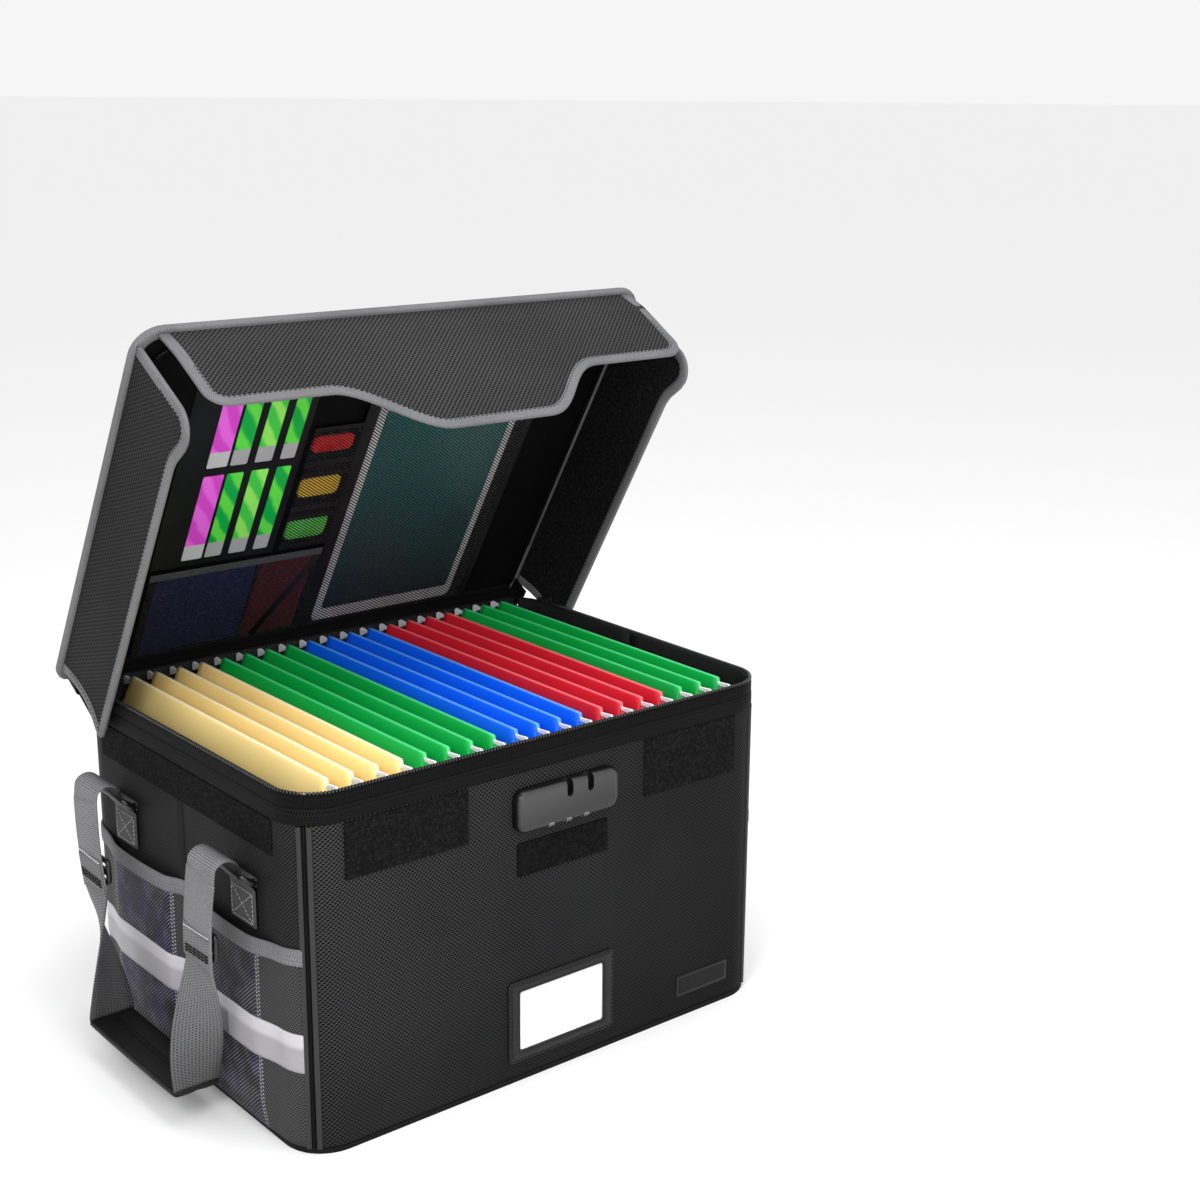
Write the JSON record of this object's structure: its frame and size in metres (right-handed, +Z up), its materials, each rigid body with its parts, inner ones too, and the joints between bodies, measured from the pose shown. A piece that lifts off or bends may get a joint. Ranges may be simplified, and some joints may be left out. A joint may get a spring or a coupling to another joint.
{
  "type": "portable file box",
  "caption": "Soft-sided portable box for hanging folders with a hinged flap lid, folder rails, side pockets, webbing side handles, zip closure and combination lock.",
  "frame": {"origin": "centre of the base's underside", "axes": "+Z up, front of the box towards -Y, left side of the front towards -X"},
  "size_m": [0.524, 0.3511, 0.5475],
  "materials": {
    "box_cloth": "matte",
    "bottom_board": "matte",
    "lining_cloth": "matte",
    "piping": "satin",
    "zip_tape": "matte",
    "zip_coil": "gloss",
    "rail_plastic": "satin",
    "velcro": "matte",
    "lock_metal": "satin",
    "dial_metal": "satin",
    "button_metal": "satin",
    "frame_plastic": "satin",
    "clear_film": "gloss",
    "white_card": "matte",
    "badge_cloth": "matte",
    "pocket_mesh": "matte",
    "grey_binding": "matte",
    "reflective_tape": "satin",
    "light_webbing": "satin",
    "grey_webbing": "satin",
    "black_plastic": "satin",
    "grip_rubber": "matte",
    "slider_metal": "satin",
    "pull_metal": "satin",
    "tablet_face": "gloss",
    "tablet_bezel": "gloss",
    "card_magenta": "matte",
    "card_green": "matte",
    "card_grey": "matte",
    "stick_red": "gloss",
    "stick_yellow": "gloss",
    "stick_green": "gloss",
    "booklet_navy": "satin",
    "booklet_red": "satin",
    "paper_manila": "matte",
    "paper_green": "matte",
    "paper_blue": "matte",
    "paper_red": "matte",
    "hook_metal": "satin",
    "thread": "matte"
  },
  "bodies": {
    "box": {"bottom_panel": "bottom_board", "base_board": "lining_cloth", "front_panel": "box_cloth", "back_panel": "box_cloth", "left_side_front": "box_cloth", "left_side_rear": "box_cloth", "right_side_front": "box_cloth", "right_side_rear": "box_cloth", "corner_pipings": "piping", "rim_zip_tape": "zip_tape", "body_zip_teeth": "zip_coil", "folder_rails": "rail_plastic", "velcro_patches": "velcro", "lock_housing": "lock_metal", "label_holder": "frame_plastic", "label_window": "clear_film", "badge_patch": "badge_cloth", "left_pocket": "pocket_mesh", "right_pocket": "pocket_mesh", "pocket_bindings": "grey_binding", "reflective_strips": "reflective_tape", "handle_tabs": "grey_webbing", "handle_rings": "black_plastic", "handle_loops": "light_webbing"},
    "lid": {"lid_panel": "box_cloth", "lid_binding": "grey_binding", "lid_lining": "lining_cloth", "lid_zip": "zip_coil", "lid_hinge_strip": "lining_cloth", "card_panel": "lining_cloth", "stick_pockets": "pocket_mesh", "booklet_pocket": "pocket_mesh", "tablet_pocket": "pocket_mesh", "pocket_contents": "card_magenta"},
    "tablet": {"tablet": "tablet_face"},
    "front_flap": {"front_flap": "box_cloth"},
    "left_flap": {"left_flap": "box_cloth"},
    "right_flap": {"right_flap": "box_cloth"},
    "left_handle": {"left_straps": "light_webbing", "left_webbing": "grey_webbing", "left_tri_glides": "black_plastic", "left_grip": "grip_rubber"},
    "right_handle": {"right_straps": "light_webbing", "right_webbing": "grey_webbing", "right_tri_glides": "black_plastic", "right_grip": "grip_rubber"},
    "left_slider": {"left_zip_slider": "slider_metal"},
    "right_slider": {"right_zip_slider": "slider_metal"},
    "left_pull": {"left_zip_pull": "pull_metal"},
    "right_pull": {"right_zip_pull": "pull_metal"},
    "dial_1": {"lock_dial_1": "dial_metal"},
    "dial_2": {"lock_dial_2": "dial_metal"},
    "dial_3": {"lock_dial_3": "dial_metal"},
    "release_button": {"lock_release_button": "button_metal"},
    "label_card": {"label_card": "white_card"},
    "folders_manila": {"folders_manila": "paper_manila"},
    "folders_green_left": {"folders_green_left": "paper_green"},
    "folders_blue": {"folders_blue": "paper_blue"},
    "folders_red": {"folders_red": "paper_red"},
    "folders_green_right": {"folders_green_right": "paper_green"}
  },
  "joints": [
    {"name": "lid_hinge", "type": "hinge", "parent": "box", "child": "lid", "pos_m": [0, 0.1622, 0.25], "axis": [-1, 0, 0], "range_deg": [-59, 120]},
    {"name": "tablet_slide", "type": "slide", "parent": "lid", "child": "tablet", "axis": [0, -0.515, 0.8572], "range_m": [0, 0.05]},
    {"name": "front_flap_hinge", "type": "hinge", "parent": "lid", "child": "front_flap", "pos_m": [0, 0.01056, 0.54411], "axis": [-1, 0, 0], "range_deg": [0, 80]},
    {"name": "left_flap_hinge", "type": "hinge", "parent": "lid", "child": "left_flap", "pos_m": [-0.2176, 0.09709, 0.40011], "axis": [0, 0.515, -0.8572], "range_deg": [0, 80]},
    {"name": "right_flap_hinge", "type": "hinge", "parent": "lid", "child": "right_flap", "pos_m": [0.2176, 0.09709, 0.40011], "axis": [0, -0.515, 0.8572], "range_deg": [0, 80]},
    {"name": "left_handle_swing", "type": "hinge", "parent": "box", "child": "left_handle", "pos_m": [-0.244, 0, 0.199], "axis": [0, 1, 0], "range_deg": [0, 170]},
    {"name": "right_handle_swing", "type": "hinge", "parent": "box", "child": "right_handle", "pos_m": [0.244, 0, 0.199], "axis": [0, -1, 0], "range_deg": [0, 170]},
    {"name": "left_slider_run", "type": "slide", "parent": "box", "child": "left_slider", "axis": [0, -1, 0], "range_m": [0, 0.22]},
    {"name": "right_slider_run", "type": "slide", "parent": "box", "child": "right_slider", "axis": [0, -1, 0], "range_m": [0, 0.22]},
    {"name": "left_pull_swing", "type": "hinge", "parent": "left_slider", "child": "left_pull", "pos_m": [-0.2141, 0.12, 0.264], "axis": [1, 0, 0], "range_deg": [-75, 75]},
    {"name": "right_pull_swing", "type": "hinge", "parent": "right_slider", "child": "right_pull", "pos_m": [0.2141, 0.12, 0.264], "axis": [1, 0, 0], "range_deg": [-75, 75]},
    {"name": "dial_1_turn", "type": "hinge", "parent": "box", "child": "dial_1", "pos_m": [-0.008, -0.1639, 0.1986], "axis": [1, 0, 0], "continuous": true},
    {"name": "dial_2_turn", "type": "hinge", "parent": "box", "child": "dial_2", "pos_m": [0.008, -0.1639, 0.1986], "axis": [1, 0, 0], "continuous": true},
    {"name": "dial_3_turn", "type": "hinge", "parent": "box", "child": "dial_3", "pos_m": [0.024, -0.1639, 0.1986], "axis": [1, 0, 0], "continuous": true},
    {"name": "release_press", "type": "slide", "parent": "box", "child": "release_button", "axis": [-1, 0, 0], "range_m": [0, 0.0025], "stiffness_N_per_m": 200, "springref_m": -0.002},
    {"name": "label_card_slide", "type": "slide", "parent": "box", "child": "label_card", "axis": [0, 0, 1], "range_m": [0, 0.055]},
    {"name": "folders_manila_slide", "type": "slide", "parent": "box", "child": "folders_manila", "axis": [1, 0, 0], "range_m": [-0.007, 0.007]},
    {"name": "folders_green_left_slide", "type": "slide", "parent": "box", "child": "folders_green_left", "axis": [1, 0, 0], "range_m": [-0.007, 0.007]},
    {"name": "folders_blue_slide", "type": "slide", "parent": "box", "child": "folders_blue", "axis": [1, 0, 0], "range_m": [-0.007, 0.007]},
    {"name": "folders_red_slide", "type": "slide", "parent": "box", "child": "folders_red", "axis": [1, 0, 0], "range_m": [-0.007, 0.007]},
    {"name": "folders_green_right_slide", "type": "slide", "parent": "box", "child": "folders_green_right", "axis": [1, 0, 0], "range_m": [-0.007, 0.007]}
  ]
}
